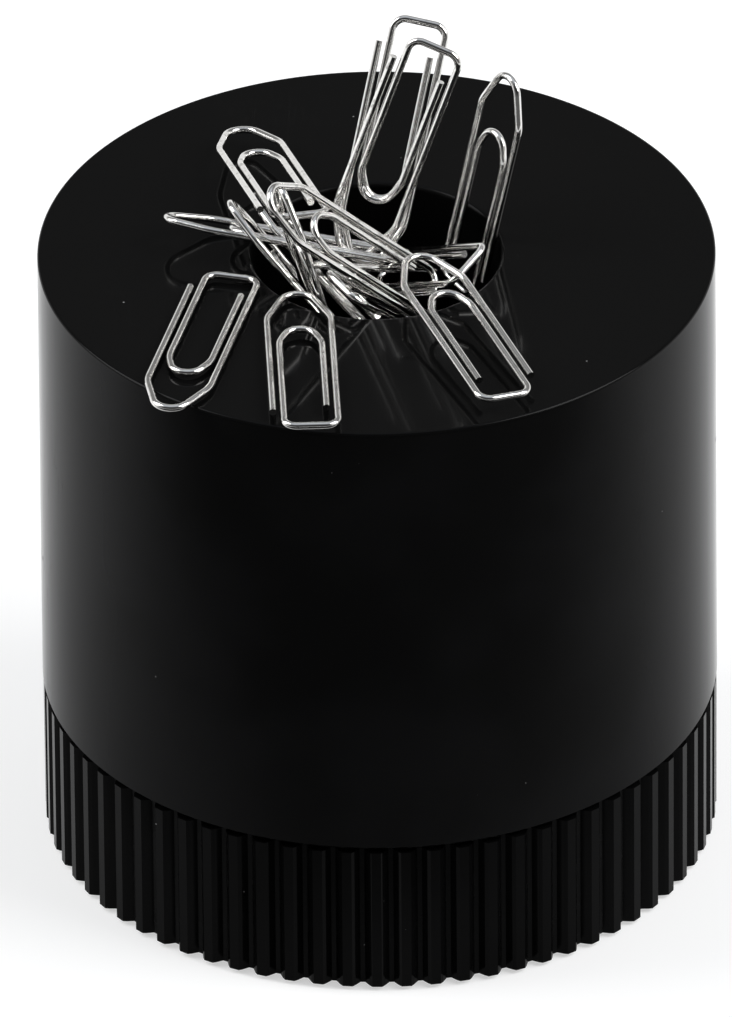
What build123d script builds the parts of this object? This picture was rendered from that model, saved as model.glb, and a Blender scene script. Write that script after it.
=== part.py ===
"""Magnetic paper clip holder: a ribbed base cup, a lift-off shell with a ring magnet, and wire clips.

Millimetres, +Z up, origin on the desk under the middle of the holder, -Y towards the viewer.
"""
import os
from math import cos, radians, sin, sqrt

from build123d import *

os.makedirs("parts", exist_ok=True)

# holder, overall
body_radius = 35.0        # outside of the smooth shell at its top
draft = 0.2               # how much wider the shell is at its lower edge
top_height = 68.3         # desk to the flat top
seam_height = 17.4        # desk to the joint between base and shell

# shell
shell_wall = 2.4
top_thickness = 2.8
top_edge_round = 0.3      # outer edge of the flat top
seam_chamfer = 0.3        # lower outer edge of the shell, the dark line above the ribs
mouth_share = 0.50        # radius of the hole the clips come out of, in clip lengths
mouth_round = 0.5         # softened edge of that hole
neck_wall = 1.6           # tube that hangs below the mouth and carries the magnet
neck_drop = 11.0          # how far that tube hangs below the top's underside
neck_round = 0.5          # softened inner edge at its lower end

# magnet and the ring that keeps it up
magnet_outer_radius = 24.0
magnet_thickness = 6.0
magnet_edge = 0.4         # chamfer on the brittle edges
magnet_play = 0.2         # radial gap between magnet and neck
keeper_outer_radius = 20.0
keeper_thickness = 2.0
keeper_round = 0.6
keeper_play = 0.05        # the keeper is pushed on, so it is close

# base
rib_count = 72
rib_inset = 0.1           # how far the ribs stay inside the shell's outline
rib_height = 0.9
rib_tip_width = 1.6
rib_root_width = 2.5
rib_turn = -0.9           # degrees, where the first rib stands
rib_gap = 0.5             # groove between the shell's edge and the rib tops
ledge_step = 0.1          # the shell sits on a ledge just inside the grooves
rib_edge = 0.3            # softened corners of each rib
floor_thickness = 2.4
spigot_height = 9.0       # part of the base that stands up inside the shell
spigot_wall = 1.9
spigot_root = 1.0         # how far the spigot is sunk into the ribbed band
spigot_play = 0.08        # radial gap that lets the shell lift off
spigot_lead = 0.6         # chamfer that guides the shell on

# non-slip ring under the base
pad_outer_radius = 28.0
pad_inner_radius = 19.0
pad_thickness = 1.2
pad_stand = 0.3           # how far it stands out below the base
pad_play = 0.3

# wire clip
wire = 0.76
clip_length = 25.75       # from wire centre to wire centre
clip_half_width = 3.3
clip_aside = 0.6          # the clip's middle line lies this far beside its own axis
outer_end = 2.8           # where the free end of the outer loop stops
outer_slope = 4.75        # how far the outer shoulders stay short of the clip's length
outer_point = 2.65        # sharp corner of the outer point beyond its rounded tip
outer_bend = 3.6
point_bend = 1.9
square_bend = 1.3
loop_gap = 1.1            # between the two loops, wire centre to wire centre
inner_end = 3.4           # where the free end of the inner loop stops
inner_short = 9.5         # how far the inner shoulders stay short of the clip's length
inner_point = 5.2         # height of the inner point above its shoulders
inner_bend = 3.6
inner_point_bend = 1.7

# spare clips lying in the base
stored_count = 12
spare_turn = 68.0         # degrees from one to the next
spare_shift = 3.0
spare_gap = 0.03          # between a clip and the one it lies across

top = top_height
mouth_radius = clip_length * mouth_share
foot_radius = body_radius + draft
rib_tip_radius = foot_radius - rib_inset
valley_radius = rib_tip_radius - rib_height
shell_bore = body_radius - shell_wall
spigot_radius = shell_bore - spigot_play
cup_radius = spigot_radius - spigot_wall
neck_radius = mouth_radius + neck_wall
under_top = top - top_thickness
base_bottom = pad_stand
floor_top = base_bottom + floor_thickness
wire_radius = wire / 2


def ring(outer, inner, low, high):
    """A plain ring between two heights."""
    body = Pos(0, 0, low) * extrude(Circle(outer) - Circle(inner), amount=high - low)
    return body


def round_edges(body, radius, height, size, cut=fillet):
    """Rounds or bevels the circular edges of one radius at one height."""
    wanted = [
        edge
        for edge in body.edges().filter_by(GeomType.CIRCLE)
        if abs(edge.radius - radius) < 0.01 and abs(edge.center().Z - height) < 0.01
    ]
    return cut(wanted, size)


def make_shell():
    """Smooth cylinder, closed by the flat top, with the mouth and its neck."""
    outside = Pos(0, 0, seam_height) * Cone(
        foot_radius,
        body_radius,
        top - seam_height,
        align=(Align.CENTER, Align.CENTER, Align.MIN),
    )
    room = ring(shell_bore, neck_radius, seam_height, under_top)
    below_neck = Pos(0, 0, seam_height) * extrude(
        Circle(shell_bore), amount=under_top - neck_drop - seam_height
    )
    hole = Pos(0, 0, seam_height) * extrude(Circle(mouth_radius), amount=top - seam_height)
    shell = outside - room - below_neck - hole
    shell = round_edges(shell, body_radius, top, top_edge_round)
    shell = round_edges(shell, mouth_radius, top, mouth_round)
    shell = round_edges(shell, mouth_radius, under_top - neck_drop, neck_round)
    return round_edges(shell, foot_radius, seam_height, seam_chamfer, chamfer)


def ribbed_outline():
    """Closed outline of the base seen from above, six corners to each rib."""
    corners = []
    root = rib_root_width / 2
    tip = rib_tip_width / 2
    root_reach = sqrt(valley_radius**2 - root**2)
    for index in range(rib_count):
        turn = radians(360 * index / rib_count + rib_turn)
        for reach, side in (
            (root_reach, -root),
            (rib_tip_radius - rib_edge, -tip),
            (rib_tip_radius, rib_edge - tip),
            (rib_tip_radius, tip - rib_edge),
            (rib_tip_radius - rib_edge, tip),
            (root_reach, root),
        ):
            x = reach * cos(turn) - side * sin(turn)
            y = reach * sin(turn) + side * cos(turn)
            corners.append((x, y))
    return Polygon(*corners, align=None)


def make_base():
    """Cup with upright ribs, a floor and a spigot for the shell."""
    rib_top = seam_height - rib_gap
    body = Pos(0, 0, base_bottom) * extrude(ribbed_outline(), amount=rib_top - base_bottom)
    body += ring(valley_radius - ledge_step, cup_radius, rib_top - spigot_root, seam_height)
    spigot_top = seam_height + spigot_height
    body += ring(spigot_radius, cup_radius, seam_height - spigot_root, spigot_top)
    room = Pos(0, 0, floor_top) * extrude(Circle(cup_radius), amount=spigot_top)
    body -= room
    recess = ring(
        pad_outer_radius + pad_play,
        pad_inner_radius - pad_play,
        0,
        pad_thickness,
    )
    body -= recess
    return round_edges(body, spigot_radius, spigot_top, spigot_lead, chamfer)


def make_clip():
    """One bent wire clip, lying flat, square end at the origin, pointed end along +Y."""
    left = -clip_aside - clip_half_width
    right = -clip_aside + clip_half_width
    shoulder = clip_length - outer_slope
    inner_left = left + loop_gap
    inner_right = right - loop_gap
    inner_shoulder = clip_length - inner_short
    corners = [
        (left, outer_end),
        (left, shoulder),
        (-clip_aside, clip_length + outer_point),
        (right, shoulder),
        (right, 0),
        (inner_left, 0),
        (inner_left, inner_shoulder),
        (-clip_aside, inner_shoulder + inner_point),
        (inner_right, inner_shoulder),
        (inner_right, inner_end),
    ]
    outer_bends = [outer_bend, point_bend, outer_bend, square_bend]
    inner_bends = [square_bend, inner_bend, inner_point_bend, inner_bend]
    path = FilletPolyline(*corners, radius=outer_bends + inner_bends)
    section = Plane(origin=path @ 0, z_dir=path % 0) * Circle(wire_radius)
    return sweep(section, path=path)


def place(clip, x, y, lift, heading, climb, twist):
    """Puts a clip's square end at x, y and lift above the top, in clip lengths, and turns the clip.

    heading turns it seen from above, climb raises its pointed end, twist rolls it about its length.
    """
    turn = Rot(0, 0, heading) * Rot(climb, 0, 0) * Rot(0, twist, 0)
    x = x * clip_length
    y = y * clip_length
    z = top + wire_radius + lift * clip_length
    return Pos(x, y, z) * turn * clip


shell = make_shell()
base = make_base()

magnet_top = under_top
magnet_bottom = magnet_top - magnet_thickness
magnet = ring(magnet_outer_radius, neck_radius + magnet_play, magnet_bottom, magnet_top)
magnet = chamfer(magnet.edges().filter_by(GeomType.CIRCLE), magnet_edge)

keeper = ring(
    keeper_outer_radius,
    neck_radius + keeper_play,
    magnet_bottom - keeper_thickness,
    magnet_bottom,
)
keeper = round_edges(keeper, keeper_outer_radius, magnet_bottom - keeper_thickness, keeper_round)

pad = ring(pad_outer_radius, pad_inner_radius, 0, pad_thickness)

clip = make_clip()

# loose clips: they lie on the top or stand in the mouth, held only by the magnet
clips = {
    "clip_front_left": place(clip, -0.57, -0.23, 0.01, 166, 0, 180),
    "clip_front_centre": place(clip, -0.26, -1.36, 0.03, 2, -1, 0),
    "clip_front_right": place(clip, 0.51, -1.19, 0.05, 22, 4, -176),
    "clip_tall_front": place(clip, 0.25, 0.06, 0.90, 103, -70, 118),
    "clip_tall_back": place(clip, 0.19, 0.45, 0.78, 154, -60, 159),
    "clip_tall_right": place(clip, 0.32, 0.19, -0.30, -83, 78, -152),
}

# clips of the heap: hooked through each other in and round the mouth
clips.update({
    "clip_back_left": place(clip, -0.29, -0.15, 0.25, 14, -11, 2),
    "clip_reach_left": place(clip, 0.14, 0.03, -0.07, 87, 10, 22),
    "clip_lean_left": place(clip, -0.11, -0.36, -0.53, 61, 72, -132),
    "clip_low_left": place(clip, 0.05, -0.31, -0.49, 62, 44, 34),
    "clip_mouth_right": place(clip, 0.37, -0.29, 0.10, 31, -30, -28),
    "clip_arch_left": place(clip, 0.23, -0.14, -0.14, 115, 44, -39),
    "clip_mouth_front": place(clip, 0.19, 0.41, -0.37, 155, 31, -171),
    "clip_deep_left": place(clip, 0.17, -0.29, -0.43, 53, 33, -147),
    "clip_deep_front": place(clip, -0.14, -0.41, 0.08, -44, -42, -166),
})

# spare clips in the base: each lies across the one below it, one wire higher
spares = []
for index in range(stored_count):
    height = floor_top + wire_radius + spare_gap + index * (wire + spare_gap)
    aside = spare_shift * (index % 3 - 1)
    along = spare_shift * (index % 4 - 1.5) - clip_length / 2
    turn = Rot(0, 0, spare_turn * index)
    spares.append(Pos(0, 0, height) * turn * Pos(aside, along, 0) * clip)

export_step(shell, "parts/body_shell.step")
export_step(magnet, "parts/ring_magnet.step")
export_step(keeper, "parts/magnet_retainer.step")
export_step(base, "parts/ribbed_base.step")
export_step(pad, "parts/foot_pad.step")
export_step(Compound(children=spares), "parts/stored_clips.step")
for name, solid in clips.items():
    export_step(solid, "parts/" + name + ".step")
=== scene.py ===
# %% [markdown]
# # A magnetic paper clip holder
# The object is a glossy black cup of moulded plastic, about as big as a mug. A ring magnet sits under
# its flat top, and wire clips stick to that top and stand in the round mouth in the middle.
# The solids come from the CAD model and stay where they are. Here they get finishes, light and a camera.

# %% Load the solids
from math import cos, radians, sin

import bpy
from mathutils import Matrix, Vector


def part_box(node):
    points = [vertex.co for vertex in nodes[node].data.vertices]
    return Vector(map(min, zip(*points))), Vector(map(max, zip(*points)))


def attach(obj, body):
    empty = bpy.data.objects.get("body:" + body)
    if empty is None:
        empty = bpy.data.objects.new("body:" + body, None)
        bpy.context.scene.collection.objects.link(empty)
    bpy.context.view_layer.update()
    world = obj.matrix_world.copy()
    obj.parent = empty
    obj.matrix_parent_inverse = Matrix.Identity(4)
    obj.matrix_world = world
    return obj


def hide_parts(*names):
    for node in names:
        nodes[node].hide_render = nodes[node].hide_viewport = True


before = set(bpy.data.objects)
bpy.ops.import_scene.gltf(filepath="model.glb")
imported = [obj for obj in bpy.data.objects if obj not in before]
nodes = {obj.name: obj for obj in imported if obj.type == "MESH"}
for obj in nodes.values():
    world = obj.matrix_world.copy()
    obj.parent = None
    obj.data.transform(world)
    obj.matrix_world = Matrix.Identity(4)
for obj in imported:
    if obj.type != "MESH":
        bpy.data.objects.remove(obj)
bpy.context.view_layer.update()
mm = 0.001
top_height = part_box("body_shell")[1].z
seam_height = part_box("body_shell")[0].z
print("solids:", len(nodes), "top at", round(top_height / mm, 1), "mm")

# %% [markdown]
# ## Camera
# The photograph looks down on the holder at 33 degrees from a long way off, so its upright edges stay
# almost parallel. A long lens far away gives that flat look. The picture also leans by half a degree,
# which goes into the camera's own axes, and a small shift puts the holder where the photograph has it.

# %% Place the camera
look_down = radians(33.1)
lean = radians(-0.486)
distance = 2.5
aim = Vector((0, 0, top_height / 2))
backwards = Vector((0, -cos(look_down), sin(look_down)))
level = Vector((1, 0, 0))
upwards = backwards.cross(level)
right_axis = cos(lean) * level + sin(lean) * upwards
up_axis = cos(lean) * upwards - sin(lean) * level
turn = Matrix((right_axis, up_axis, backwards)).transposed().to_4x4()

lens = bpy.data.cameras.new("camera")
lens.sensor_fit = "VERTICAL"
lens.sensor_height = 36.0
lens.lens = 851.6
lens.shift_x = -0.0125
lens.shift_y = 0.0188
lens.clip_end = 20.0
camera = bpy.data.objects.new("camera", lens)
camera.matrix_world = Matrix.Translation(aim + distance * backwards) @ turn
bpy.context.scene.collection.objects.link(camera)
bpy.context.scene.camera = camera
bpy.context.scene.view_settings.view_transform = "Standard"
print("camera at", [round(value, 3) for value in camera.location])

# %% [markdown]
# ## Floor
# The holder stands on a white sheet. Part of the white is plain diffuse paint, which takes the shadow,
# and part is a glow that only the camera and mirror reflections see. Together they reach white away
# from the holder, and the shadow stays a soft grey.

# %% Make the floor
def new_material(name):
    """A material with nodes: gives the material, its tree and its shader."""
    material = bpy.data.materials.new(name)
    material.use_nodes = True
    return material, material.node_tree, material.node_tree.nodes["Principled BSDF"]


def stage_paint(name, tone):
    """A dull grey paint without gloss, for what lies round the holder."""
    material, tree, shader = new_material(name)
    shader.inputs["Base Color"].default_value = (tone, tone, tone, 1)
    shader.inputs["Roughness"].default_value = 0.9
    shader.inputs["Specular IOR Level"].default_value = 0.0
    return material, tree, shader


def add_math(tree, operation, *values):
    """One Math node; each value is a socket or a number."""
    node = tree.nodes.new("ShaderNodeMath")
    node.operation = operation
    for socket, value in zip(node.inputs, values):
        if isinstance(value, (int, float)):
            socket.default_value = value
        else:
            tree.links.new(value, socket)
    return node.outputs[0]


floor_size = 6.0
floor_drop = 0.2 * mm     # keeps it clear of the foot
floor_paint = 0.55
floor_glow = 0.54
bpy.ops.object.select_all(action="DESELECT")
bpy.ops.mesh.primitive_plane_add(size=floor_size, location=(0, 0, -floor_drop))
floor = bpy.context.active_object
floor.name = "floor"
white, tree, shader = stage_paint("white_sheet", floor_paint)
shader.inputs["Emission Color"].default_value = (floor_glow, floor_glow, floor_glow, 1)
path = tree.nodes.new("ShaderNodeLightPath")
seen = add_math(tree, "MAXIMUM", path.outputs["Is Camera Ray"], path.outputs["Is Glossy Ray"])
seen = add_math(tree, "MAXIMUM", seen, path.outputs["Is Transmission Ray"])
tree.links.new(seen, shader.inputs["Emission Strength"])
floor.data.materials.append(white)
print("floor: paint", floor_paint, "glow", floor_glow)

# %% [markdown]
# ## Room
# Black gloss and bright wire show only what they mirror, so the room counts as much as the lamps. It is
# white near the floor at the sides and behind, dark higher up, and a little lighter straight above.
# A colour ramp over the height paints these bands, and a smooth step from front to back dims the front.

# %% Paint the room
def add_coordinates(tree, kind):
    """Sockets for X, Y and Z of one kind of texture coordinates."""
    split = tree.nodes.new("ShaderNodeSeparateXYZ")
    tree.links.new(tree.nodes.new("ShaderNodeTexCoord").outputs[kind], split.inputs["Vector"])
    return split.outputs


def add_range(tree, value, span, result):
    """One Map Range node that turns a span of values smoothly into a span of results."""
    node = tree.nodes.new("ShaderNodeMapRange")
    node.interpolation_type = "SMOOTHSTEP"
    tree.links.new(value, node.inputs["Value"])
    labels = ("From Min", "From Max", "To Min", "To Max")
    for label, number in zip(labels, (*span, *result)):
        node.inputs[label].default_value = number
    return node.outputs["Result"]


room_bands = [
    (0.22, (0.95, 0.95, 0.95, 1)),
    (0.42, (0.22, 0.22, 0.22, 1)),
    (0.66, (0.22, 0.22, 0.22, 1)),
    (0.92, (0.58, 0.61, 0.66, 1)),
]
front_to_back = (-0.75, 0.15)
dark_to_full = (0.12, 1.0)
room = bpy.data.worlds.new("studio_room")
bpy.context.scene.world = room
room.use_nodes = True
tree = room.node_tree
direction = add_coordinates(tree, "Generated")
bands = tree.nodes.new("ShaderNodeValToRGB")
stops = bands.color_ramp.elements
for index, (height, tone) in enumerate(room_bands):
    stop = stops[index] if index < len(stops) else stops.new(height)
    stop.position = height
    stop.color = tone
tree.links.new(direction["Z"], bands.inputs["Fac"])
behind = add_range(tree, direction["Y"], front_to_back, dark_to_full)
tree.links.new(bands.outputs["Color"], tree.nodes["Background"].inputs["Color"])
tree.links.new(behind, tree.nodes["Background"].inputs["Strength"])
print("room:", len(stops), "bands")

# %% [markdown]
# ## Lamps
# The holder's shadow is soft and falls a little to the left. Two large area lamps give it, one on each
# side and both turned to the middle of the holder. The one on the right is the stronger.

# %% Hang the lamps
def soft_lamp(name, place, width, height, watts):
    """A rectangular soft lamp that faces the middle of the holder."""
    data = bpy.data.lights.new(name, "AREA")
    data.shape = "RECTANGLE"
    data.size = width
    data.size_y = height
    data.energy = watts
    lamp = bpy.data.objects.new(name, data)
    lamp.location = place
    lamp.rotation_euler = (aim - lamp.location).to_track_quat("-Z", "Y").to_euler()
    bpy.context.scene.collection.objects.link(lamp)
    return lamp


lamps = [
    soft_lamp("lamp_right", place=(0.85, -0.20, 0.90), width=0.8, height=0.8, watts=12.0),
    soft_lamp("lamp_left", place=(-0.85, 0.10, 0.80), width=0.6, height=0.9, watts=8.0),
]
print("lamps:", [lamp.name for lamp in lamps])

# %% [markdown]
# ## Black card
# Photographers lay black card beside bright metal to give it dark stripes. One lies on the floor in front
# of the holder and is seen only in reflections. Its edge at the holder fades out, because a hard edge would
# show as a line on the glossy wall.

# %% Lay the black card
rising = (0.0, 1.0)
card_size = 0.8
card_middle = -0.39
card_lift = 0.1 * mm
card_paint = 0.01
card_fade = (0.40, 0.30)  # towards the holder, from the card's middle
bpy.ops.mesh.primitive_plane_add(size=card_size, location=(0, card_middle, card_lift))
card = bpy.context.active_object
card.name = "black_card"
card.visible_camera = False
card.visible_diffuse = False
card.visible_shadow = False
black, tree, shader = stage_paint("black_card", card_paint)
fade = add_range(tree, add_coordinates(tree, "Object")["Y"], card_fade, rising)
tree.links.new(fade, shader.inputs["Alpha"])
card.data.materials.append(black)
print("card:", card.name, "size", card_size)

# %% [markdown]
# ## Shell
# The shell is turned in one piece, like anything round from a mould: a wall, a flat top, the mouth
# with its softened edge, and a short neck below it that carries the magnet. The solid is made of flat
# triangles, and black gloss shows each of them, so the shell is modelled again. Half of its cross-section
# comes first, as a list of corners and of the roundings that some of them get.

# %% List the corners of the cross-section
low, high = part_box("body_shell")
foot_radius = min(-low.x, -low.y, high.x, high.y)
rim_radius = 35.0 * mm
mouth_radius = 12.875 * mm
wall_bore = 32.6 * mm
neck_wall = 1.6 * mm
top_thickness = 2.8 * mm
neck_drop = 11.0 * mm
seam_bevel = 0.3 * mm
rim_round = 0.3 * mm
mouth_round = 0.5 * mm
inside_round = 0.5 * mm
edge_round = 0.2 * mm
neck_radius = mouth_radius + neck_wall
under_top = top_height - top_thickness
neck_end = under_top - neck_drop
cross_section = [
    (foot_radius - seam_bevel, seam_height),
    (foot_radius, seam_height + seam_bevel),
    (rim_radius, top_height),
    (mouth_radius, top_height),
    (mouth_radius, neck_end),
    (neck_radius, neck_end),
    (neck_radius, under_top),
    (wall_bore, under_top),
    (wall_bore, seam_height),
]
corner_rounds = [
    ((rim_radius, top_height), rim_round),
    ((mouth_radius, top_height), mouth_round),
    ((mouth_radius, neck_end), inside_round),
    ((neck_radius, neck_end), edge_round),
    ((wall_bore, under_top), inside_round),
    ((wall_bore, seam_height), edge_round),
]
print("cross-section:", len(cross_section), "corners,", len(corner_rounds), "rounded")

# %% [markdown]
# ## Drawing and spinning the shell
# A single point is pulled from corner to corner, as one would extrude it by hand, and the outline is
# closed. The corners are found by their place and bevelled. A spin in many fine steps turns the outline
# into the body, and its normals are then weighted by area, so that the flat top and the wall mirror evenly.

# %% Draw and spin the shell
def start_outline(name, corners):
    """A new object in edit mode: one point, pulled out along the corners and closed."""
    bpy.ops.object.select_all(action="DESELECT")
    bpy.ops.mesh.primitive_plane_add(size=mm)
    piece = bpy.context.active_object
    piece.name = name
    bpy.ops.object.mode_set(mode="EDIT")
    bpy.ops.mesh.select_all(action="SELECT")
    bpy.ops.mesh.merge(type="CENTER")
    bpy.ops.transform.translate(value=(corners[0][0], 0, corners[0][1]))
    for before, after in zip(corners, corners[1:]):
        step = (after[0] - before[0], 0, after[1] - before[1])
        bpy.ops.mesh.extrude_region_move(TRANSFORM_OT_translate={"value": step})
    bpy.ops.mesh.select_all(action="SELECT")
    bpy.ops.mesh.edge_face_add()
    bpy.ops.mesh.delete(type="ONLY_FACE")
    return piece


def select_corner(piece, radius, height, reach=0.01 * mm):
    """Selects the point at this radius and height, while the piece is in edit mode."""
    bpy.ops.mesh.select_all(action="DESELECT")
    bpy.ops.object.mode_set(mode="OBJECT")
    for point in piece.data.vertices:
        point.select = abs(point.co.x - radius) < reach and abs(point.co.z - height) < reach
    bpy.ops.object.mode_set(mode="EDIT")


round_steps = 8
spin_steps = 288
same_place = 0.001 * mm
sharp_from = radians(32)
shell = start_outline("shell_body", cross_section)
bpy.ops.mesh.select_mode(type="VERT")
for (radius, height), size in corner_rounds:
    select_corner(shell, radius, height)
    bpy.ops.mesh.bevel(offset=size, segments=round_steps, affect="VERTICES")
bpy.ops.mesh.select_all(action="SELECT")
bpy.ops.mesh.spin(steps=spin_steps, angle=radians(360), center=(0, 0, 0), axis=(0, 0, 1))
bpy.ops.mesh.select_all(action="SELECT")
bpy.ops.mesh.remove_doubles(threshold=same_place)
bpy.ops.mesh.normals_make_consistent(inside=False)
bpy.ops.object.mode_set(mode="OBJECT")
bpy.ops.object.shade_smooth_by_angle(angle=sharp_from)
even = shell.modifiers.new("even_shading", "WEIGHTED_NORMAL")
even.keep_sharp = True
bpy.ops.object.modifier_apply(modifier=even.name)
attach(shell, "shell")
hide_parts("body_shell")
print("shell:", len(shell.data.polygons), "faces, height", round(shell.dimensions.z / mm, 2), "mm")

# %% [markdown]
# ## Dust
# On black gloss every speck of dust shows as a pale dot. A Voronoi texture scatters points in space,
# and where the surface passes close to one of them it gets a speck. Only a few of the points count, picked
# by their random colour. Several finishes use it, so it is a node group.

# %% Build the dust group
def new_group(name, inputs, outputs):
    """A shader node group with number inputs and number outputs."""
    group = bpy.data.node_groups.new(name, "ShaderNodeTree")
    for label, value in inputs:
        socket = group.interface.new_socket(label, in_out="INPUT", socket_type="NodeSocketFloat")
        socket.default_value = value
    for label in outputs:
        group.interface.new_socket(label, in_out="OUTPUT", socket_type="NodeSocketFloat")
    return group, group.nodes.new("NodeGroupInput"), group.nodes.new("NodeGroupOutput")


points_per_metre = 420.0
dust_group, dust_in, dust_out = new_group("dust_specks", [("Share", 0.1), ("Size", 0.2)], ["Mask"])
place = dust_group.nodes.new("ShaderNodeTexCoord").outputs["Object"]
cells = dust_group.nodes.new("ShaderNodeTexVoronoi")
cells.inputs["Scale"].default_value = points_per_metre
dust_group.links.new(place, cells.inputs["Vector"])
pick = dust_group.nodes.new("ShaderNodeSeparateColor")
dust_group.links.new(cells.outputs["Color"], pick.inputs["Color"])
chosen = add_math(dust_group, "LESS_THAN", pick.outputs["Red"], dust_in.outputs["Share"])
own_size = add_math(dust_group, "MULTIPLY", pick.outputs["Green"], dust_in.outputs["Size"])
dot = add_math(dust_group, "LESS_THAN", cells.outputs["Distance"], own_size)
speck = add_math(dust_group, "MULTIPLY", chosen, dot)
dust_group.links.new(speck, dust_out.inputs["Mask"])
print("group:", dust_group.name)

# %% [markdown]
# ## Handling marks
# A holder on a desk is wiped and touched. That leaves hairline scratches and faint smears, which are seen
# only where they break up a reflection. Thin lines come from a noise drawn out in one direction and cut
# to a narrow band of its values. Two directions cross each other. Smears are a wide soft noise.

# %% Build the handling group
def add_noise(tree, scale, detail=3.0, roughness=0.5, stretch=None):
    """One Noise texture on Object coordinates; stretch squeezes or draws out the pattern."""
    place = tree.nodes.new("ShaderNodeTexCoord").outputs["Object"]
    if stretch:
        mapping = tree.nodes.new("ShaderNodeMapping")
        mapping.inputs["Scale"].default_value = stretch
        tree.links.new(place, mapping.inputs["Vector"])
        place = mapping.outputs["Vector"]
    noise = tree.nodes.new("ShaderNodeTexNoise")
    noise.inputs["Scale"].default_value = scale
    noise.inputs["Detail"].default_value = detail
    noise.inputs["Roughness"].default_value = roughness
    tree.links.new(place, noise.inputs["Vector"])
    return noise.outputs["Fac"]


falling = (1.0, 0.0)
line_directions = ((1.0, 0.03, 0.06), (0.05, 1.0, 0.04))
line_width = (0.0, 0.012)
noise_middle = 0.5
scratched_patches = (0.5, 0.7)
smeared_patches = (0.42, 0.68)
handling_group, handling_in, handling_out = new_group(
    "handling_marks", [("Scratches", 1.0), ("Smears", 1.0)], ["Scratch", "Smear"]
)
lines = []
for stretch in line_directions:
    drawn = add_noise(handling_group, scale=900.0, detail=2.0, stretch=stretch)
    off_middle = add_math(handling_group, "SUBTRACT", drawn, noise_middle)
    off_middle = add_math(handling_group, "ABSOLUTE", off_middle)
    lines.append(add_range(handling_group, off_middle, line_width, falling))
wide_noise = add_noise(handling_group, scale=60.0, detail=2.0)
patches = add_range(handling_group, wide_noise, scratched_patches, rising)
scratch = add_math(handling_group, "MAXIMUM", *lines)
scratch = add_math(handling_group, "MULTIPLY", scratch, patches)
scratch = add_math(handling_group, "MULTIPLY", scratch, handling_in.outputs["Scratches"])
soft_noise = add_noise(handling_group, scale=45.0, detail=4.0)
smear = add_range(handling_group, soft_noise, smeared_patches, rising)
smear = add_math(handling_group, "MULTIPLY", smear, handling_in.outputs["Smears"])
handling_group.links.new(scratch, handling_out.inputs["Scratch"])
handling_group.links.new(smear, handling_out.inputs["Smear"])
print("group:", handling_group.name)

# %% [markdown]
# ## Black plastic
# Shell and base are moulded from one black plastic. Its colour is two blacks mixed by a soft noise, with
# dust on it. Smears and hairlines dull the gloss a little, and dust takes it away. A function builds this
# much for both, and gives the colour and the roughness as sockets, to which each finish adds its own.

# %% Define the black plastic
def place_group(tree, group, **values):
    """One copy of a node group in a material, with its own values."""
    node = tree.nodes.new("ShaderNodeGroup")
    node.node_tree = group
    for label, value in values.items():
        node.inputs[label].default_value = value
    return node


def colour_sockets(sockets):
    """The colour sockets of a Mix node, which share their names with its number sockets."""
    return [socket for socket in sockets if socket.type == "RGBA"]


def mix_colours(tree, share, first, second):
    """Mixes two colours by a mask; each colour is a socket or three numbers."""
    node = tree.nodes.new("ShaderNodeMix")
    node.data_type = "RGBA"
    tree.links.new(share, node.inputs[0])
    for socket, colour in zip(colour_sockets(node.inputs), (first, second)):
        if isinstance(colour, tuple):
            socket.default_value = (*colour, 1)
        else:
            tree.links.new(colour, socket)
    return colour_sockets(node.outputs)[0]


def grey(tone):
    """A neutral colour."""
    return (tone, tone, tone)


dust_grey = grey(0.20)
dust_rough = 0.8
scratch_rough = 0.15
smear_rough = 0.06
cloud_edges = (0.35, 0.65)


def black_plastic(name, tone, gloss, smears, duller):
    """Black moulded plastic: gives the material, its tree and shader, and the sockets to add to."""
    material, tree, shader = new_material(name)
    shader.inputs["Specular IOR Level"].default_value = gloss
    shader.inputs["Coat IOR"].default_value = 1.5
    shader.inputs["Coat Roughness"].default_value = 0.05
    dust = place_group(tree, dust_group, Share=0.3, Size=0.045).outputs["Mask"]
    marks = place_group(tree, handling_group, Scratches=1.0, Smears=smears).outputs
    cloud = add_range(tree, add_noise(tree, scale=55.0), cloud_edges, rising)
    paler_black = (tone * 1.4, tone * 1.4, tone * 1.45)
    blacks = mix_colours(tree, cloud, grey(tone), paler_black)
    colour = mix_colours(tree, dust, blacks, dust_grey)
    rough = add_range(tree, marks["Smear"], rising, (duller, duller + smear_rough))
    rough = add_math(tree, "ADD", rough, add_math(tree, "MULTIPLY", marks["Scratch"], scratch_rough))
    rough = add_math(tree, "MAXIMUM", rough, add_math(tree, "MULTIPLY", dust, dust_rough))
    sockets = {"dust": dust, "scratch": marks["Scratch"], "colour": colour, "rough": rough}
    return material, tree, shader, sockets


print("plastic: dust", dust_rough, "rough, smears up to", smear_rough, "duller")

# %% [markdown]
# ## Shell plastic
# The flat top of the shell is polished like a mirror, the wall is a little duller. The base gloss is kept
# low, so that the wall stays black in the middle and turns grey only towards its edges, and a clear coat
# that is weighted by height adds the mirror on the top. The same height mask also paints the top a darker
# black than the wall, which is painted shade. The neck below the mouth is dull, and it is painted a deeper
# black, which is painted shade in that recess.

# %% Make and assign the shell plastic
def add_place(tree):
    """Sockets for the height above the desk and the distance from the holder's axis."""
    place = add_coordinates(tree, "Object")
    across = add_math(tree, "POWER", place["X"], 2.0)
    along = add_math(tree, "POWER", place["Y"], 2.0)
    return place["Z"], add_math(tree, "SQRT", add_math(tree, "ADD", across, along))


def add_bump(tree, shader, height, strength, depth):
    """Feeds a height into the shader's normal."""
    bump = tree.nodes.new("ShaderNodeBump")
    bump.inputs["Strength"].default_value = strength
    bump.inputs["Distance"].default_value = depth
    tree.links.new(height, bump.inputs["Height"])
    tree.links.new(bump.outputs["Normal"], shader.inputs["Normal"])


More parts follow.
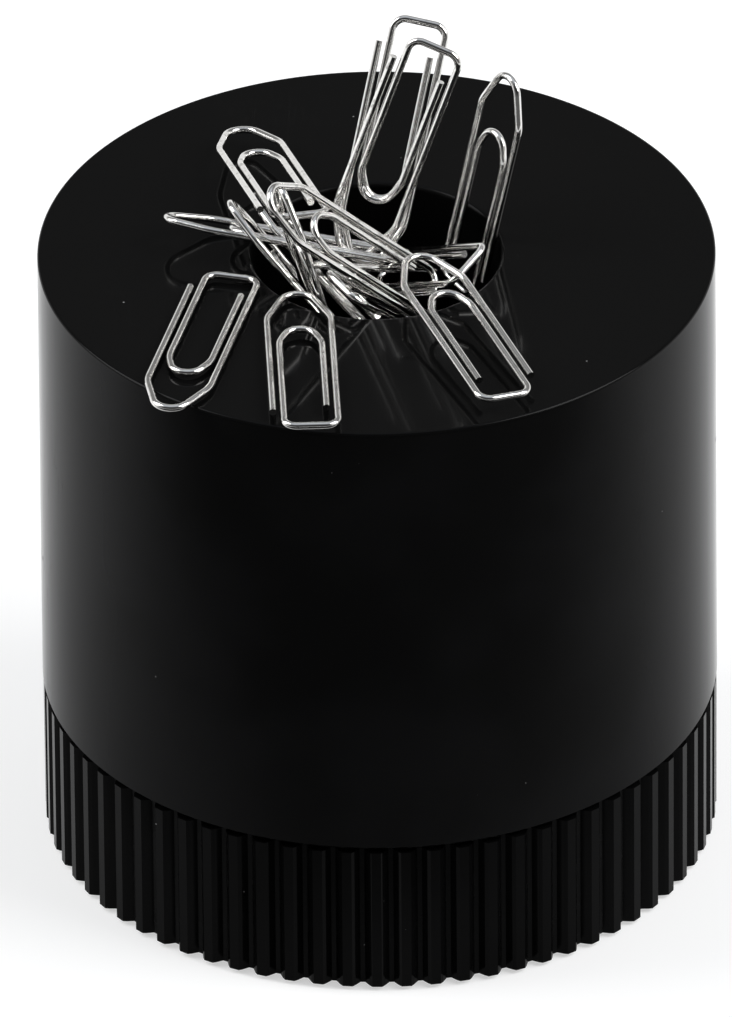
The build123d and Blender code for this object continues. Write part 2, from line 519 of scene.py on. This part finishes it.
def dress(material, *pieces):
    """Gives pieces one material in place of what they came with."""
    for piece in pieces:
        piece.data.materials.clear()
        piece.data.materials.append(material)
    print(material.name, "on", len(pieces), "pieces")


top_band = (top_height - 0.6 * mm, top_height - 0.1 * mm)
neck_band = (mouth_radius + 0.1 * mm, mouth_radius + 0.4 * mm)
# painted shade: the flat top gets a darker black than the wall
top_painted_shade = grey(0.0034)
# painted shade: a deeper black for the recessed bore of the mouth
neck_painted_shade = grey(0.0006)
neck_rough = 0.6
coat_share = 0.07
scratch_depth = 0.3
shell_plastic, tree, shader, plastic = black_plastic(
    "shell_plastic", tone=0.0052, gloss=0.046, smears=1.0, duller=0.07
)
height, radius = add_place(tree)
# height mask of the top: it weights the real coat and also paints the top's shade
polish_and_top_shade = add_range(tree, height, top_band, rising)
polish_and_top_shade = add_math(tree, "MULTIPLY", polish_and_top_shade, add_math(tree, "SUBTRACT", 1.0, plastic["dust"]))
# mask of the bore: it makes the bore dull and also paints its shade
neck = add_range(tree, radius, neck_band, falling)
# paints the top's shade over the plastic colour
colour = mix_colours(tree, polish_and_top_shade, plastic["colour"], top_painted_shade)
tree.links.new(mix_colours(tree, neck, colour, neck_painted_shade), shader.inputs["Base Color"])
rough = add_math(tree, "MAXIMUM", plastic["rough"], add_math(tree, "MULTIPLY", neck, neck_rough))
tree.links.new(rough, shader.inputs["Roughness"])
tree.links.new(add_math(tree, "MULTIPLY", polish_and_top_shade, coat_share), shader.inputs["Coat Weight"])
ripple = add_noise(tree, scale=260.0, detail=2.0)
grooves = add_math(tree, "MULTIPLY", plastic["scratch"], scratch_depth)
skin = add_math(tree, "SUBTRACT", ripple, grooves)
add_bump(tree, shader, skin, strength=0.03, depth=0.1 * mm)
dress(shell_plastic, shell, nodes["body_shell"])

# %% [markdown]
# ## Ribbed base plastic
# The base is moulded from the same black plastic, but its ribs are touched whenever the shell is lifted.
# Their outer faces are rubbed smoother than the grooves, which stay dull. The distance from the holder's
# axis tells rib from groove.

# %% Make and assign the base plastic
rib_tip_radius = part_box("ribbed_base")[1].x
groove_band = (rib_tip_radius - 0.9 * mm, rib_tip_radius - 0.2 * mm)
groove_rough = (0.22, 0.0)
uneven = (0.6, 1.0)
base_plastic, tree, shader, plastic = black_plastic(
    "base_plastic", tone=0.0022, gloss=0.056, smears=0.6, duller=0.08
)
radius = add_place(tree)[1]
groove = add_range(tree, radius, groove_band, groove_rough)
patchy = add_range(tree, add_noise(tree, scale=300.0), (0.3, 0.6), uneven)
dull = add_math(tree, "MULTIPLY", groove, patchy)
tree.links.new(plastic["colour"], shader.inputs["Base Color"])
tree.links.new(add_math(tree, "ADD", plastic["rough"], dull), shader.inputs["Roughness"])
add_bump(tree, shader, add_noise(tree, scale=700.0), strength=0.05, depth=0.1 * mm)
dress(base_plastic, nodes["ribbed_base"])

# %% [markdown]
# ## Wire
# The clips are bent from drawn steel wire with a bright nickel plating. Drawing leaves fine lines and the
# plating small dull spots, so the brightness and the gloss change a little all over, and a fine grain
# breaks the mirror.

# %% Make and assign the wire
bright_nickel = (0.80, 0.79, 0.77)
dull_nickel = (0.52, 0.51, 0.49)
nickel_rough = (0.10, 0.26)
spot_edges = (0.52, 0.72)
steel_wire, tree, shader = new_material("steel_wire")
shader.inputs["Metallic"].default_value = 1.0
grain = add_noise(tree, scale=2600.0)
spots = add_noise(tree, scale=900.0, detail=4.0, roughness=0.65)
spots = add_range(tree, spots, spot_edges, rising)
tone = mix_colours(tree, spots, bright_nickel, dull_nickel)
tree.links.new(tone, shader.inputs["Base Color"])
tree.links.new(add_range(tree, spots, rising, nickel_rough), shader.inputs["Roughness"])
add_bump(tree, shader, grain, strength=0.12, depth=0.04 * mm)
clips = [node for name, node in nodes.items() if name.startswith("clip_")]
dress(steel_wire, nodes["stored_clips"], *clips)

# %% [markdown]
# ## Magnet
# The magnet shows only when the shell is lifted. It is pressed ferrite, dark grey and grainy with small
# chips. One rough noise gives the grain its tone, its gloss and its height, and a wider one the chips.

# %% Make and assign the ferrite
grain_edges = (0.3, 0.7)
chip_edges = (0.62, 0.70)
dark_ferrite = (0.035, 0.035, 0.038)
pale_ferrite = (0.075, 0.075, 0.08)
fresh_ferrite = (0.13, 0.13, 0.135)
ferrite, tree, shader = new_material("ferrite")
grit = add_noise(tree, scale=1500.0, detail=5.0, roughness=0.7)
chips = add_range(tree, add_noise(tree, scale=350.0), chip_edges, rising)
tone = mix_colours(tree, grit, dark_ferrite, pale_ferrite)
tone = mix_colours(tree, chips, tone, fresh_ferrite)
tree.links.new(tone, shader.inputs["Base Color"])
tree.links.new(add_range(tree, grit, grain_edges, (0.45, 0.7)), shader.inputs["Roughness"])
add_bump(tree, shader, grit, strength=0.25, depth=0.1 * mm)
dress(ferrite, nodes["ring_magnet"])

# %% [markdown]
# ## Keeper and foot
# The keeper that holds the magnet up is plain matt plastic with the fine texture of its mould. The foot
# under the base is soft black rubber that has picked up dust from the desk.

# %% Make and assign the keeper plastic and the rubber
keeper_plastic, tree, shader = new_material("keeper_plastic")
spark = add_noise(tree, scale=2200.0)
dark_keeper = (0.035, 0.035, 0.037)
pale_keeper = (0.055, 0.055, 0.057)
tone = mix_colours(tree, add_noise(tree, scale=80.0), dark_keeper, pale_keeper)
tree.links.new(tone, shader.inputs["Base Color"])
tree.links.new(add_range(tree, spark, grain_edges, (0.5, 0.65)), shader.inputs["Roughness"])
add_bump(tree, shader, spark, strength=0.15, depth=0.06 * mm)
dress(keeper_plastic, nodes["magnet_retainer"])

pad_rubber, tree, shader = new_material("pad_rubber")
dust = place_group(tree, dust_group, Share=0.35, Size=0.2).outputs["Mask"]
pores = add_noise(tree, scale=1800.0, detail=4.0)
dark_rubber = (0.022, 0.022, 0.022)
pale_rubber = (0.04, 0.04, 0.039)
desk_dust = (0.16, 0.155, 0.15)
tone = mix_colours(tree, add_noise(tree, scale=120.0), dark_rubber, pale_rubber)
tone = mix_colours(tree, dust, tone, desk_dust)
tree.links.new(tone, shader.inputs["Base Color"])
tree.links.new(add_range(tree, pores, grain_edges, (0.75, 0.92)), shader.inputs["Roughness"])
add_bump(tree, shader, pores, strength=0.3, depth=0.1 * mm)
dress(pad_rubber, nodes["foot_pad"])
